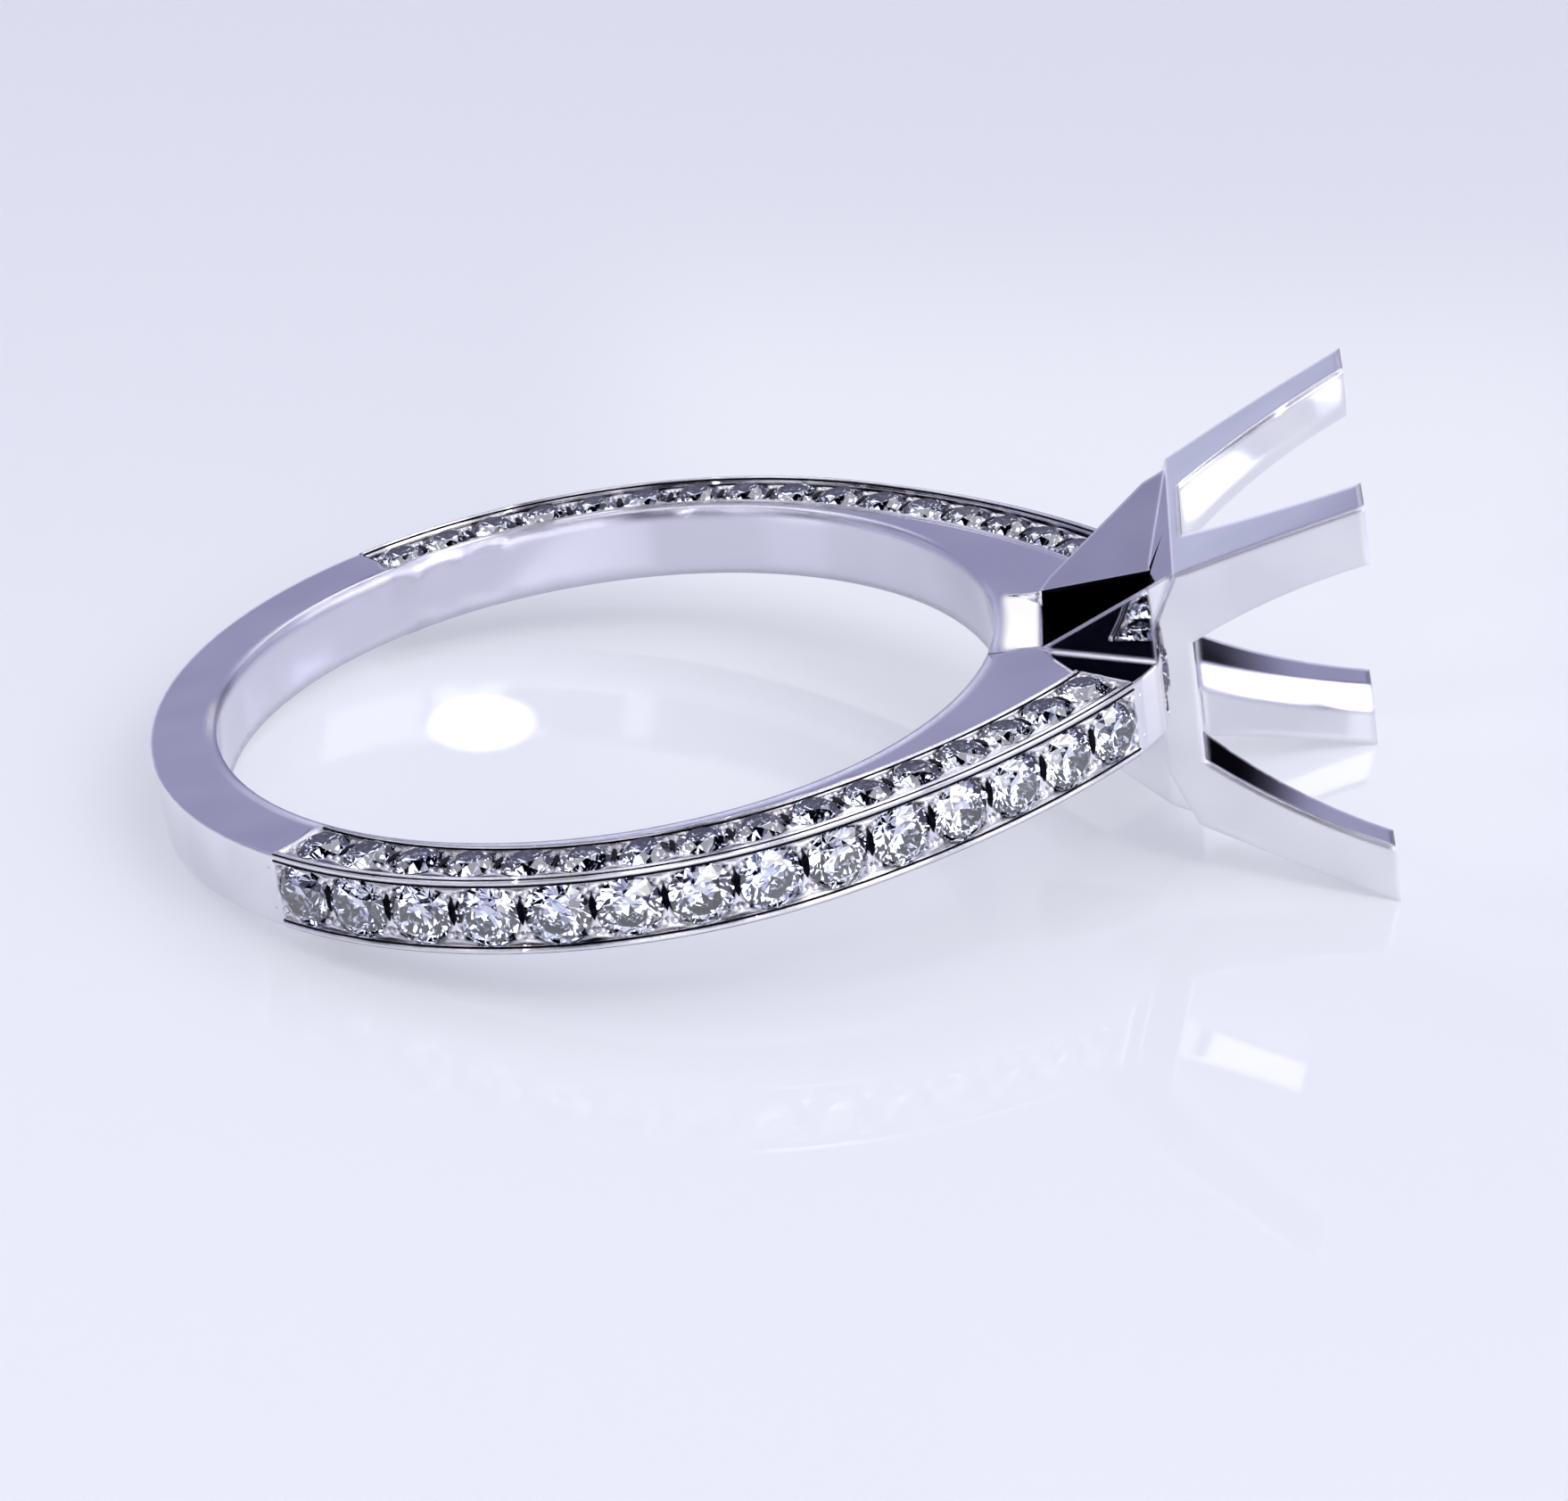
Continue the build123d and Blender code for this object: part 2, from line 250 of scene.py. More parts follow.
def makeWhiteGold(plan):
    # cast, felt-wheel polished and rhodium plated: a mirror with faint ripples and softened edges, with
    # painted shade in the gallery and on the finger hole's wall
    material, tree = newMaterial("polishedWhiteGold")
    place, ringPlace = ringFrame(tree)
    finger, bridge, tip = armPlan["fingerRadius"], armPlan["bridgeX"], armPlan["galleryTip"]
    ripple = addNode(tree, "ShaderNodeTexNoise", {"Scale": 1000 / plan["rippleMm"], "Detail": 1.0},
                     {"Vector": place})
    hairs = addNode(tree, "ShaderNodeTexNoise", {"Scale": 1000 / plan["scratchMm"], "Detail": 2.0},
                    {"Vector": place})
    tone = addNode(tree, "ShaderNodeValToRGB", links={"Fac": ripple.outputs["Fac"]})
    setStops(tone.color_ramp, plan["toneStops"], (plan["handled"], plan["tone"]))
    # painted shade: the gallery's walls, found by their distance from its wedge, get the near-black colour
    split = addNode(tree, "ShaderNodeSeparateXYZ", links={"Vector": ringPlace})
    aside = addNode(tree, "ShaderNodeMath", links={0: split.outputs["Y"]}, operation="ABSOLUTE")
    slope = armPlan["galleryHalf"] / (tip - bridge)
    wedge = addNode(tree, "ShaderNodeMath", {1: slope}, {0: split.outputs["X"], 2: aside.outputs[0]},
                    operation="MULTIPLY_ADD")
    within = addNode(tree, "ShaderNodeMapRange",
                     spanMm(armPlan["galleryHalf"] + slope * bridge, plan["galleryShadeMm"]),
                     {"Value": wedge.outputs[0]})
    past = addNode(tree, "ShaderNodeMath", {1: (bridge - plan["galleryShadeMm"][1]) / 1000},
                   {0: split.outputs["X"]}, operation="GREATER_THAN")
    hollow = addNode(tree, "ShaderNodeMath", links={0: within.outputs["Result"], 1: past.outputs[0]},
                     operation="MULTIPLY")
    # the finger hole's wall, by its distance from the finger's axis, for its painted shade and rougher finish
    flat = addNode(tree, "ShaderNodeVectorMath", {1: (1.0, 1.0, 0.0)}, {0: ringPlace}, operation="MULTIPLY")
    reachOut = addNode(tree, "ShaderNodeVectorMath", links={0: flat.outputs["Vector"]}, operation="LENGTH")
    wall = addNode(tree, "ShaderNodeMapRange", spanMm(finger, plan["wallShadeAndRoughMm"]),
                   {"Value": reachOut.outputs["Value"]})
    worn = addNode(tree, "ShaderNodeMix", {7: toLinear(plan["worn"])},
                   {"Factor": wall.outputs["Result"], 6: tone.outputs["Color"]}, data_type="RGBA")
    colour = addNode(tree, "ShaderNodeMix", {7: toLinear(plan["hollow"])},
                     {"Factor": hollow.outputs[0], 6: worn.outputs[2]}, data_type="RGBA")
    hairRough = addNode(tree, "ShaderNodeMapRange",
                        {"From Min": plan["scratchStops"][0], "From Max": plan["scratchStops"][1],
                         "To Min": plan["rough"][0], "To Max": plan["rough"][1]},
                        {"Value": hairs.outputs["Fac"]})
    rough = addNode(tree, "ShaderNodeMath", {1: plan["wornRough"]},
                    {0: wall.outputs["Result"], 2: hairRough.outputs["Result"]}, operation="MULTIPLY_ADD")
    # the edges are rounder at the finger hole and on the prongs
    atFinger = addNode(tree, "ShaderNodeMapRange",
                       {**spanMm(finger, plan["fingerEaseMm"]),
                        "To Min": plan["edgeMm"] / 1000, "To Max": plan["fingerEdgeMm"] / 1000},
                       {"Value": reachOut.outputs["Value"]})
    atProngs = addNode(tree, "ShaderNodeMapRange",
                       {**spanMm(tip, plan["prongEaseMm"]),
                        "To Min": 0.0, "To Max": (plan["prongEdgeMm"] - plan["edgeMm"]) / 1000},
                       {"Value": split.outputs["X"]})
    rounding = addNode(tree, "ShaderNodeMath",
                       links={0: atFinger.outputs["Result"], 1: atProngs.outputs["Result"]}, operation="ADD")
    edge = addNode(tree, "ShaderNodeBevel", links={"Radius": rounding.outputs[0]}, samples=plan["edgeRays"])
    wave = addNode(tree, "ShaderNodeBump",
                   {"Strength": plan["rippleShare"], "Distance": plan["rippleDepthMm"] / 1000},
                   {"Height": ripple.outputs["Fac"], "Normal": edge.outputs["Normal"]})
    shader = addNode(tree, "ShaderNodeBsdfPrincipled", {"Metallic": 1.0},
                     {"Base Color": colour.outputs[2], "Roughness": rough.outputs[0],
                      "Normal": wave.outputs["Normal"]})
    addNode(tree, "ShaderNodeOutputMaterial", links={"Surface": shader.outputs["BSDF"]})
    return material


whiteGold = makeWhiteGold(metalPlan)
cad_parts["ring_mount"].data.materials.clear()
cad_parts["ring_mount"].data.materials.append(whiteGold)
print("white gold laid on the mount")


def seatCloud(name, places):
    # loose points that remember the way they face and the way their row runs
    mesh = bpy.data.meshes.new(name)
    mesh.from_pydata([tuple(p[0]) for p in places], [], [])
    for index, label in ((1, "facing"), (2, "along")):
        layer = mesh.attributes.new(label, "FLOAT_VECTOR", "POINT")
        layer.data.foreach_set("vector", [c for p in places for c in p[index]])
    cloud = bpy.data.objects.new(name, mesh)
    scene.collection.objects.link(cloud)
    return cloud


def openTree(name, numbers, counts):
    # a geometry tree with its sockets and its entry
    tree = bpy.data.node_groups.new(name, "GeometryNodeTree")
    tree.interface.new_socket("Geometry", in_out="INPUT", socket_type="NodeSocketGeometry")
    tree.interface.new_socket("Geometry", in_out="OUTPUT", socket_type="NodeSocketGeometry")
    for socketNames, socketType in ((numbers, "NodeSocketFloat"), (counts, "NodeSocketInt")):
        for socketName in socketNames:
            tree.interface.new_socket(socketName, in_out="INPUT", socket_type=socketType)
    return tree, addNode(tree, "NodeGroupInput")


def closeTree(tree, geometry, material):
    # makes the repeats real, gives them their material and ends the tree
    solid = addNode(tree, "GeometryNodeRealizeInstances", links={"Geometry": geometry})
    dressed = addNode(tree, "GeometryNodeSetMaterial", {"Material": material},
                      {"Geometry": solid.outputs["Geometry"]})
    addNode(tree, "NodeGroupOutput", links={"Geometry": dressed.outputs["Geometry"]})
    return tree


def setterTree(name, pattern, material):
    # sets one small shape on each point, with a seeded tilt and turn
    tree, entry = openTree(name, ("Across", "Tilt", "Spin"), ("Seed",))
    facing = addNode(tree, "GeometryNodeInputNamedAttribute", {"Name": "facing"}, data_type="FLOAT_VECTOR")
    along = addNode(tree, "GeometryNodeInputNamedAttribute", {"Name": "along"}, data_type="FLOAT_VECTOR")
    upright = addNode(tree, "FunctionNodeAxesToRotation",
                      links={"Primary Axis": facing.outputs["Attribute"],
                             "Secondary Axis": along.outputs["Attribute"]},
                      primary_axis="Z", secondary_axis="X")
    tilt, spin = entry.outputs["Tilt"], entry.outputs["Spin"]
    most = addNode(tree, "ShaderNodeCombineXYZ", links={"X": tilt, "Y": tilt, "Z": spin})
    least = addNode(tree, "ShaderNodeVectorMath", {1: (-1.0, -1.0, -1.0)}, {0: most.outputs["Vector"]},
                    operation="MULTIPLY")
    chance = addNode(tree, "FunctionNodeRandomValue",
                     links={"Min": least.outputs["Vector"], "Max": most.outputs["Vector"],
                            "Seed": entry.outputs["Seed"]}, data_type="FLOAT_VECTOR")
    turn = addNode(tree, "FunctionNodeEulerToRotation", links={"Euler": chance.outputs["Value"]})
    both = addNode(tree, "FunctionNodeRotateRotation",
                   links={"Rotation": upright.outputs["Rotation"], "Rotate By": turn.outputs["Rotation"]},
                   rotation_space="LOCAL")
    source = addNode(tree, "GeometryNodeObjectInfo", {"Object": pattern})
    placed = addNode(tree, "GeometryNodeInstanceOnPoints",
                     links={"Points": entry.outputs["Geometry"], "Instance": source.outputs["Geometry"],
                            "Rotation": both.outputs["Rotation"], "Scale": entry.outputs["Across"]})
    return closeTree(tree, placed.outputs["Instances"], material)


def growPiece(name, cloud, tree, inputs, smooth=False):
    # runs the tree and keeps the result as a plain mesh
    modifier = cloud.modifiers.new("setter", "NODES")
    modifier.node_group = tree
    for item in tree.interface.items_tree:
        if item.item_type == "SOCKET" and item.in_out == "INPUT" and item.name in inputs:
            modifier[item.identifier] = inputs[item.name]
    bpy.context.view_layer.update()
    graph = bpy.context.evaluated_depsgraph_get()
    mesh = bpy.data.meshes.new_from_object(cloud.evaluated_get(graph))
    cloud.modifiers.remove(modifier)
    bpy.data.objects.remove(cloud)
    mesh.name = name
    mesh.shade_smooth() if smooth else mesh.shade_flat()
    piece = bpy.data.objects.new(name, mesh)
    scene.collection.objects.link(piece)
    return piece


stonePlan = {                # shares and radii in stone diameters
    "clear": "F3F6FF",
    "shade": "DFE7FF",       # a faint cool tint that changes from stone to stone
    "tintStops": (0.35, 0.6),
    "tintMm": 1.2,
    "lensIor": 2.417,
    "tableShare": 0.56,
    "crownShare": 0.16,
    "girdleShare": 0.04,
    "pavilionShare": 0.40,
    "starRadius": 0.385,
    "lowerRadius": 0.13,
    "tiltDegrees": 2.5,
    "seeds": {"outer_near": 4, "outer_far": 11, "upper_near": 7, "upper_far": 15, "lower_near": 21,
              "lower_far": 28},
}


def makeDiamond(plan):
    # colourless brilliant-cut diamond: laps leave flat mirror facets that split light into black and white
    material, tree = newMaterial("cutDiamond")
    place = addNode(tree, "ShaderNodeTexCoord")
    cloud = addNode(tree, "ShaderNodeTexNoise", {"Scale": 1000 / plan["tintMm"], "Detail": 0.0},
                    {"Vector": place.outputs["Object"]})
    tint = addNode(tree, "ShaderNodeValToRGB", links={"Fac": cloud.outputs["Fac"]})
    setStops(tint.color_ramp, plan["tintStops"], (plan["shade"], plan["clear"]))
    shader = addNode(tree, "ShaderNodeBsdfPrincipled",
                     {"IOR": plan["lensIor"], "Roughness": 0.0, "Transmission Weight": 1.0},
                     {"Base Color": tint.outputs["Color"]})
    addNode(tree, "ShaderNodeOutputMaterial", links={"Surface": shader.outputs["BSDF"]})
    return material


def brilliant(plan):
    # a round brilliant one unit across: 57 facets and the girdle, with the crown's foot at z = 0
    crown, girdle, pavilion = plan["crownShare"], plan["girdleShare"], plan["pavilionShare"]
    tableRadius, slope = plan["tableShare"] / 2, plan["crownShare"] / (0.5 - plan["tableShare"] / 2)
    half = math.cos(math.pi / 8)
    starZ = crown - (plan["starRadius"] * half - tableRadius) * slope
    lowerZ = -girdle - (0.5 - plan["lowerRadius"] * half) * pavilion / 0.5
    points = (ringPoints(8, tableRadius, crown) + ringPoints(8, plan["starRadius"], starZ, 0.5)
              + ringPoints(16, 0.5, 0.0) + ringPoints(16, 0.5, -girdle)
              + ringPoints(8, plan["lowerRadius"], lowerZ, 0.5) + [(0, 0, -girdle - pavilion)])
    table, star, top, low, mains, culet = 0, 8, 16, 32, 48, 56
    faces = [tuple(range(8))]
    for k in range(8):
        nxt, before = (k + 1) % 8, (k - 1) % 8
        g, gNext, gBefore = 2 * k, 2 * k + 1, (2 * k - 1) % 16
        faces.append((table + k, star + k, table + nxt))
        faces.append((table + k, star + before, top + g, star + k))
        faces.append((star + k, top + g, top + gNext))
        faces.append((star + before, top + gBefore, top + g))
        faces.append((top + g, low + g, low + gNext, top + gNext))
        faces.append((top + gBefore, low + gBefore, low + g, top + g))
        faces.append((mains + k, low + gNext, low + g))
        faces.append((mains + before, low + g, low + gBefore))
        faces.append((low + g, mains + before, culet, mains + k))
    return points, faces


diamond = makeDiamond(stonePlan)
stonePattern = meshObject("stonePattern", *brilliant(stonePlan))
stoneTree = setterTree("stoneSetter", stonePattern, diamond)
for face, arm, kind in fields:
    row = rowPlan[kind]
    stones = growPiece(f"brilliants_{face}_{arm}",
                       seatCloud("seats", floorPlaces(row, rowLengths(row), face, arm)), stoneTree,
                       {"Across": row["shown"] / 1000, "Tilt": math.radians(stonePlan["tiltDegrees"]),
                        "Spin": math.pi, "Seed": stonePlan["seeds"][f"{face}_{arm}"]})
    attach(stones, "root")
    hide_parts(f"stones_{face}_{arm}")
bpy.data.objects.remove(stonePattern)
print("stones set")


beadPlan = {                 # millimetres: width, distance over a gap, distance from the row's middle
    "outer": {"across": 0.18, "apart": 0.25, "reach": 0.47},
    "side": {"across": 0.15, "apart": 0.21, "reach": 0.38},
    "sides": 10,
    "rings": [(0.5, -0.30), (0.5, 0.10), (0.43, 0.34), (0.25, 0.52)],  # radius and height, in bead widths
    "top": 0.58,
    "tiltDegrees": 8.0,
    "seed": 3,
}


def beadShape(plan):
    # a low dome one unit across, as a beading tool leaves it, on a short foot
    sides, rings = plan["sides"], plan["rings"]
    points = [point for radius, z in rings for point in ringPoints(sides, radius, z)] + [(0, 0, plan["top"])]
    faces = [tuple(range(sides - 1, -1, -1))]
    for level in range(len(rings) - 1):
        for k in range(sides):
            a, b = level * sides + k, level * sides + (k + 1) % sides
            faces.append((a, b, b + sides, a + sides))
    last = (len(rings) - 1) * sides
    faces += [(last + k, last + (k + 1) % sides, len(points) - 1) for k in range(sides)]
    return points, faces


cutPlan = {                  # in stone diameters: x along the row, y across it
    "wide": 0.40,            # half length of a corner's foot at the rail
    "rail": 0.49,            # where the rail begins
    "point": 0.24,           # how near a corner comes to the row's middle
    "ridge": (0.40, 0.055),  # place and height of the corner's peak
    "slotHalf": (0.052, 0.22),
    "slotShoulder": 0.45,    # share of its half length that a slot keeps its full width
    "slotShift": 0.06,
    "slotHeight": 0.035,
}


def cornerShape(plan):
    # the two bright-cut corners of a gap: a graver leaves three flat facets on each
    points, faces = [], []
    for side in (1, -1):
        base = len(points)
        points += [(-plan["wide"], side * plan["rail"], 0), (plan["wide"], side * plan["rail"], 0),
                   (0, side * plan["point"], 0), (0, side * plan["ridge"][0], plan["ridge"][1])]
        order = [(0, 2, 1), (0, 1, 3), (1, 2, 3), (2, 0, 3)]
        if side > 0:
            order = [tuple(reversed(face)) for face in order]
        faces += [tuple(base + i for i in face) for face in order]
    return points, faces


def slotShape(plan):
    # a thin lens of painted shade where two stones meet
    wide, tall = plan["slotHalf"]
    shoulder = plan["slotShoulder"] * tall
    outline = [(0, tall), (-wide, shoulder), (-wide, -shoulder), (0, -tall), (wide, -shoulder),
               (wide, shoulder)]
    points = [(x, y + plan["slotShift"], z) for z in (0.0, plan["slotHeight"]) for x, y in outline]
    count = len(outline)
    faces = [tuple(range(count - 1, -1, -1)), tuple(range(count, 2 * count))]
    faces += [(k, (k + 1) % count, count + (k + 1) % count, count + k) for k in range(count)]
    return points, faces


cupPlan = {                  # painted shade: a dark lining for the cut seat under a stone, in stone diameters
    "sides": 12,
    "rim": 0.455,
    "rimDepth": 0.100,
    "pointDepth": 0.466,
    "wall": 0.012,
}


def cupShape(plan):
    # a thin closed cone of painted shade that lines the seat, clear of the stone's pavilion
    sides, wall, rimZ, pointZ = plan["sides"], plan["wall"], -plan["rimDepth"], -plan["pointDepth"]
    points = (ringPoints(sides, plan["rim"], rimZ) + ringPoints(sides, plan["rim"], rimZ - wall)
              + [(0, 0, pointZ), (0, 0, pointZ - wall)])
    faces = []
    for k in range(sides):
        nxt = (k + 1) % sides
        faces += [(k, nxt, 2 * sides), (sides + nxt, sides + k, 2 * sides + 1),
                  (k, sides + k, sides + nxt, nxt)]
    return points, faces


undercutPlan = {
    "deep": "05050A",        # painted shade: near-black metal where the stones shade it
    "edge": "14141F",        # the same painted shade a little lighter, in a fine random grain
    "toneStops": (0.4, 0.7),
    "grainMm": 0.15,
    "rough": 0.45,
}


def makeUndercut(plan):
    # painted shade: near-black metal with hardly any shine, for the slits between stones, the linings under
    # them and the dark lines along the rails
    material, tree = newMaterial("undercutWhiteGold")
    place = addNode(tree, "ShaderNodeTexCoord")
    grain = addNode(tree, "ShaderNodeTexNoise", {"Scale": 1000 / plan["grainMm"], "Detail": 1.0},
                    {"Vector": place.outputs["Object"]})
    tone = addNode(tree, "ShaderNodeValToRGB", links={"Fac": grain.outputs["Fac"]})
    setStops(tone.color_ramp, plan["toneStops"], (plan["deep"], plan["edge"]))
    shader = addNode(tree, "ShaderNodeBsdfPrincipled", {"Metallic": 1.0, "Roughness": plan["rough"]},
                     {"Base Color": tone.outputs["Color"]})
    addNode(tree, "ShaderNodeOutputMaterial", links={"Surface": shader.outputs["BSDF"]})
    return material


undercut = makeUndercut(undercutPlan)
patterns = {
    "beads": (meshObject("beadPattern", *beadShape(beadPlan), smooth=True), whiteGold),
    "corners": (meshObject("cornerPattern", *cornerShape(cutPlan)), whiteGold),
    # painted shade: dark slits where two stones meet
    "undercuts": (meshObject("slotPattern", *slotShape(cutPlan)), undercut),
    # painted shade: dark linings in the seats under the stones
    "seats": (meshObject("cupPattern", *cupShape(cupPlan)), undercut),
}
trees = {name: setterTree(name + "Setter", *parts) for name, parts in patterns.items()}
for face, arm, kind in fields:
    row, beads = rowPlan[kind], beadPlan[kind]
    gaps = gapLengths(row)
    grains = [onArm(row["depth"], gap + a * beads["apart"] / 2, face, arm, b * beads["reach"],
                    -armPlan["recess"]) for gap in gaps for a in (-1, 1) for b in (-1, 1)]
    middles = floorPlaces(row, gaps[1:-1], face, arm)
    under = floorPlaces(row, rowLengths(row), face, arm)
    for name, places, across, tilt in (("beads", grains, beads["across"], beadPlan["tiltDegrees"]),
                                       ("corners", middles, row["shown"], 0.0),
                                       ("undercuts", middles, row["shown"], 0.0),
                                       ("seats", under, row["shown"], 0.0)):
        piece = growPiece(f"{name}_{face}_{arm}", seatCloud("points", places), trees[name],
                          {"Across": across / 1000, "Tilt": math.radians(tilt), "Spin": 0.0,
                           "Seed": beadPlan["seed"]}, smooth=name == "beads")
        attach(piece, "root")
for pattern, _ in patterns.values():
    bpy.data.objects.remove(pattern)
print("beads raised, corners and undercuts cut, seats lined")


railPlan = {                 # polished lips, and painted shade lines along the fields
    "sides": 10,
    "steps": 90,
    "sets": {                # millimetres; a line is its face, its depth in from the outer face and its shift
        "lips": {"thick": 0.105, "material": whiteGold,
                 "lines": [("outer", 0.0, -0.755), ("upper", 0.095, 0.0), ("lower", 0.095, 0.0),
                           ("upper", 1.50, 0.0), ("lower", 1.50, 0.0)]},
        # painted shade: near-black wires where the rails' edges show dark lines
        "scores": {"thick": 0.045, "material": undercut,
                   "lines": [("outer", 0.0, 0.70), ("outer", 0.0, -0.69),
                             ("upper", 0.03, 0.0), ("upper", 0.155, 0.0), ("upper", 1.435, 0.0),
                             ("lower", 0.03, 0.0), ("lower", 0.155, 0.0), ("lower", 1.435, 0.0)]},
    },
}


def railTree(name, material):
    # a round wire along each line, sunk to half its thickness in the metal
    tree, entry = openTree(name, ("Thickness",), ("Sides",))
    radius = addNode(tree, "ShaderNodeMath", {1: 0.5}, {0: entry.outputs["Thickness"]}, operation="MULTIPLY")
    path = addNode(tree, "GeometryNodeMeshToCurve", links={"Mesh": entry.outputs["Geometry"]})
    section = addNode(tree, "GeometryNodeCurvePrimitiveCircle",
                      links={"Resolution": entry.outputs["Sides"], "Radius": radius.outputs[0]},
                      mode="RADIUS")
    wire = addNode(tree, "GeometryNodeCurveToMesh", {"Fill Caps": True},
                   {"Curve": path.outputs["Curve"], "Profile Curve": section.outputs["Curve"]})
    return closeTree(tree, wire.outputs["Mesh"], material)


def railPath(lines, arm, steps):
    # the points and edges that an arm's wires follow
    points, edges = [], []
    for face, depth, sideways in lines:
        first, run = len(points), armLength(depth) - 2 * armPlan["endMargin"]
        for k in range(steps + 1):
            length = armPlan["endMargin"] + run * k / steps
            points.append(tuple(onArm(depth, length, face, arm, sideways)[0]))
        edges += [(first + k, first + k + 1) for k in range(steps)]
    return meshObject("railLine", points, [], edges)


for name, rails in railPlan["sets"].items():
    wireTree = railTree(name + "Wire", rails["material"])
    for arm in ("near", "far"):
        rail = growPiece(f"{name}_{arm}", railPath(rails["lines"], arm, railPlan["steps"]), wireTree,
                         {"Thickness": rails["thick"] / 1000, "Sides": railPlan["sides"]}, smooth=True)
        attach(rail, "root")
print("rails drawn")


floorPlan = {
    "near": "AFB1B4",        # painted light: the board is drawn brighter towards the front, where more light falls
    "beyond": "96989D",
    "toneStops": (0.06, 1.0),
    "fade": (-0.035, 0.075),
    "glow": "AAABB5",        # light that spreads inside the board and fills the shadows
    "cloudMm": 60,
    "cloudShare": 0.12,
    "ior": 1.22,             # below solid acrylic's, because the skin mirrors only faintly
    "rough": 0.015,
    "half": 1.5,
}


def makeFloor(plan):
    # opal acrylic board lit from inside as well: a pale skin with painted light that brightens it towards the
    # front, and a clear, faint mirror on it
    material, tree = newMaterial("opalAcrylic")
    place = addNode(tree, "ShaderNodeTexCoord")
    cloud = addNode(tree, "ShaderNodeTexNoise", {"Scale": 1000 / plan["cloudMm"], "Detail": 1.0},
                    {"Vector": place.outputs["Object"]})
    split = addNode(tree, "ShaderNodeSeparateXYZ", links={"Vector": place.outputs["Object"]})
    # painted light: the tone steps brighter towards the front along y
    mottle = addNode(tree, "ShaderNodeMath", {1: plan["cloudShare"]},
                     {0: cloud.outputs["Fac"], 2: softStep(tree, split.outputs["Y"], plan["fade"])},
                     operation="MULTIPLY_ADD")
    tone = addNode(tree, "ShaderNodeValToRGB", links={"Fac": mottle.outputs[0]})
    setStops(tone.color_ramp, plan["toneStops"], (plan["near"], plan["beyond"]))
    shader = addNode(tree, "ShaderNodeBsdfPrincipled",
                     {"IOR": plan["ior"], "Roughness": plan["rough"],
                      "Emission Color": toLinear(plan["glow"]), "Emission Strength": 1.0},
                     {"Base Color": tone.outputs["Color"]})
    addNode(tree, "ShaderNodeOutputMaterial", links={"Surface": shader.outputs["BSDF"]})
    size = plan["half"]
    board = meshObject("board", [(-size, -size, 0), (size, -size, 0), (size, size, 0), (-size, size, 0)],
                       [(0, 1, 2, 3)])
    board.data.materials.append(material)


skyPlan = {                   # sizes and borders as parts of a direction one unit long
    "low": "9E9DC0",          # lavender wall round the table, which the upward faces mirror
    "wallTop": (0.50, 0.72),
    "frontTop": (0.22, 0.30),
    "frontEdge": (0.15, -0.15),  # on the camera's side of this the wall is lower
    "panel": ("F2F3FF", 2.2),
    "gap": "08081C",          # dark gaps between the panels
    "gapEdge": (-0.05, 0.10),
    "ribs": 8,                # panels round the tent
    "cards": [                # way, half width, half height, soft edge, colour and strength
        {"way": (0.03, -0.76, 0.65), "wide": 0.50, "high": 0.22, "edge": 0.03, "light": ("050512", 1.0)},
        {"way": (-0.27, -0.88, 0.38), "wide": 0.11, "high": 0.24, "edge": 0.04, "light": ("050512", 1.0)},
        {"way": (0.26, -0.93, 0.26), "wide": 0.27, "high": 0.14, "edge": 0.03, "light": ("F2F3FF", 3.2)},
        {"way": (0.78, -0.04, 0.62), "wide": 0.28, "high": 0.20, "edge": 0.04, "light": ("F6F7FF", 2.4)},
        {"way": (0.58, -0.47, 0.66), "wide": 0.15, "high": 0.33, "edge": 0.03, "light": ("FFFFFF", 4.0)},
        {"way": (-0.79, -0.53, 0.30), "wide": 0.22, "high": 0.16, "edge": 0.04, "light": ("050512", 1.0)},
        {"way": (-0.33, 0.92, 0.10), "wide": 0.30, "high": 0.13, "edge": 0.06, "light": ("C0C4E0", 1.0)},
        {"way": (0.03, 0.915, 0.40), "wide": 0.07, "high": 0.03, "edge": 0.05, "light": ("FFFFFF", 1.2)},
        {"way": (0.48, 0.87, 0.19), "wide": 0.13, "high": 0.10, "edge": 0.07, "light": ("06060C", 1.0)},
    ],
}


def addCard(tree, way, card, under):
    # a flat card far off in one direction, laid over what is already there
    centre = Vector(card["way"]).normalized()
    right = centre.cross(Vector((0, 0, 1))).normalized()
    up = right.cross(centre).normalized()
    ahead = addNode(tree, "ShaderNodeVectorMath", {1: centre}, {0: way}, operation="DOT_PRODUCT")
    masks = []
    for axis, size in ((right, card["wide"]), (up, card["high"])):
        along = addNode(tree, "ShaderNodeVectorMath", {1: axis}, {0: way}, operation="DOT_PRODUCT")
        aside = addNode(tree, "ShaderNodeMath", links={0: along.outputs["Value"]}, operation="ABSOLUTE")
        masks.append(softStep(tree, aside.outputs[0], (size + card["edge"], size)))
    both = addNode(tree, "ShaderNodeMath", links={0: masks[0], 1: masks[1]}, operation="MULTIPLY")
    front = addNode(tree, "ShaderNodeMath", {1: 0.0}, {0: ahead.outputs["Value"]}, operation="GREATER_THAN")
    mask = addNode(tree, "ShaderNodeMath", links={0: both.outputs[0], 1: front.outputs[0]},
                   operation="MULTIPLY")
    laid = addNode(tree, "ShaderNodeMix", {7: toLinear(*card["light"])},
                   {"Factor": mask.outputs[0], 6: under}, data_type="RGBA")
    return laid.outputs[2]


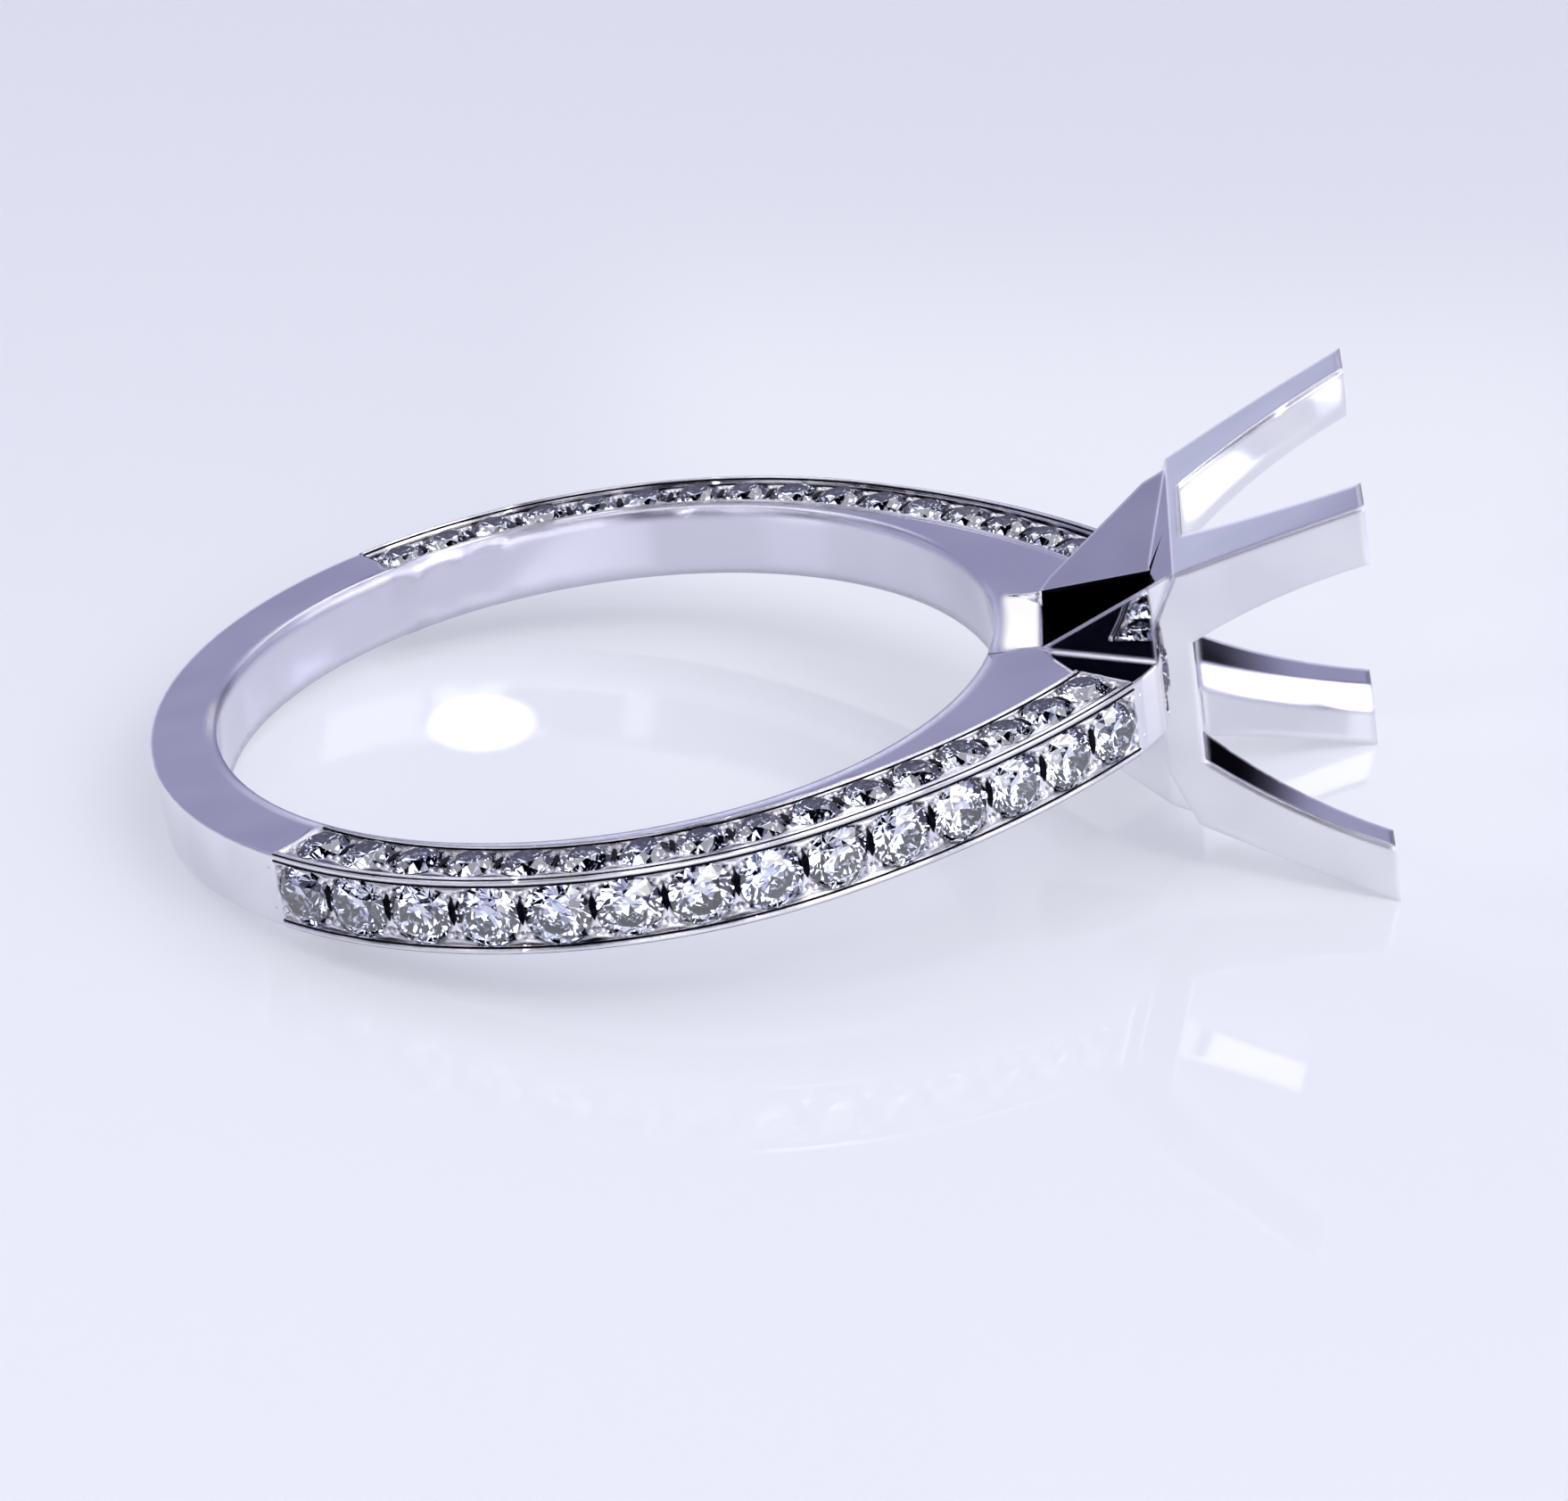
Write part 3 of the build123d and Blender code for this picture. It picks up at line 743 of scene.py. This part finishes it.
def makeSky(plan):
    # a white tent of ribbed panels over a low lavender wall
    world = bpy.data.worlds.new("tent")
    scene.world = world
    world.use_nodes = True
    tree = world.node_tree
    tree.nodes.clear()
    way = addNode(tree, "ShaderNodeTexCoord").outputs["Generated"]
    split = addNode(tree, "ShaderNodeSeparateXYZ", links={"Vector": way})
    turn = addNode(tree, "ShaderNodeMath", links={0: split.outputs["X"], 1: split.outputs["Y"]},
                   operation="ARCTAN2")
    ribs = addNode(tree, "ShaderNodeMath", {1: float(plan["ribs"])}, {0: turn.outputs[0]},
                   operation="MULTIPLY")
    wave = addNode(tree, "ShaderNodeMath", links={0: ribs.outputs[0]}, operation="SINE")
    panels = addNode(tree, "ShaderNodeMix", {6: toLinear(plan["gap"]), 7: toLinear(*plan["panel"])},
                     {"Factor": softStep(tree, wave.outputs[0], plan["gapEdge"])}, data_type="RGBA")
    overWall = softStep(tree, split.outputs["Z"], plan["wallTop"])
    overFront = addNode(tree, "ShaderNodeMath",
                        links={0: softStep(tree, split.outputs["Y"], plan["frontEdge"]),
                               1: softStep(tree, split.outputs["Z"], plan["frontTop"])}, operation="MULTIPLY")
    over = addNode(tree, "ShaderNodeMath", links={0: overWall, 1: overFront.outputs[0]}, operation="MAXIMUM")
    tent = addNode(tree, "ShaderNodeMix", {6: toLinear(plan["low"])},
                   {"Factor": over.outputs[0], 7: panels.outputs[2]}, data_type="RGBA")
    light = tent.outputs[2]
    for card in plan["cards"]:
        light = addCard(tree, way, card, light)
    glow = addNode(tree, "ShaderNodeBackground", {"Strength": 1.0}, {"Color": light})
    addNode(tree, "ShaderNodeOutputWorld", links={"Surface": glow.outputs["Background"]})


lampPlan = {                 # narrow lamps straight above the board, in metres
    "blend": 0.15,
    "bulb": 0.0005,
    "pools": {               # place, height, radius of the pool of light, and its width against its length
        "oval": {"at": (-0.00674, 0.00333), "high": 0.14, "pool": 0.00115, "power": 3.2, "narrow": 0.74},
        "poolRoot": {"at": (0.0323, -0.0088), "high": 0.20, "pool": 0.0032, "power": 4.5, "narrow": 1.0},
        "poolTip": {"at": (0.0319, -0.0200), "high": 0.20, "pool": 0.0022, "power": 4.5, "narrow": 1.0},
    },
}
sparkPlan = {                # small round lamps that the stones and beads flash back, in metres
    "far": 0.30,
    "size": 0.006,
    "bright": 300,
    "aimHigh": 0.004,
    "ways": {"sparkLeft": (-0.45, -0.70, 0.55), "sparkRight": (0.35, -0.75, 0.62)},
}


def addLamp(name, kind):
    data = bpy.data.lights.new(name, kind)
    shine = bpy.data.objects.new(name, data)
    scene.collection.objects.link(shine)
    return data, shine


def makeLamps(plan, sparks):
    for name, lamp in plan["pools"].items():
        data, shine = addLamp(name, "SPOT")
        data.spot_size, data.spot_blend = 2 * math.atan(lamp["pool"] / lamp["high"]), plan["blend"]
        data.shadow_soft_size, data.energy = plan["bulb"], lamp["power"]
        shine.location = (*lamp["at"], lamp["high"])
        shine.scale = (lamp["narrow"], 1.0, 1.0)
    for name, direction in sparks["ways"].items():
        data, shine = addLamp(name, "AREA")
        data.shape, data.size = "DISK", sparks["size"]
        data.energy = sparks["bright"] * math.pi ** 2 * sparks["size"] ** 2 / 4
        way = Vector(direction).normalized()
        shine.location = way * sparks["far"] + Vector((0, 0, sparks["aimHigh"]))
        shine.rotation_euler = way.to_track_quat("Z", "Y").to_euler()


makeFloor(floorPlan)
makeSky(skyPlan)
makeLamps(lampPlan, sparkPlan)
print("board, sky and lamps ready")
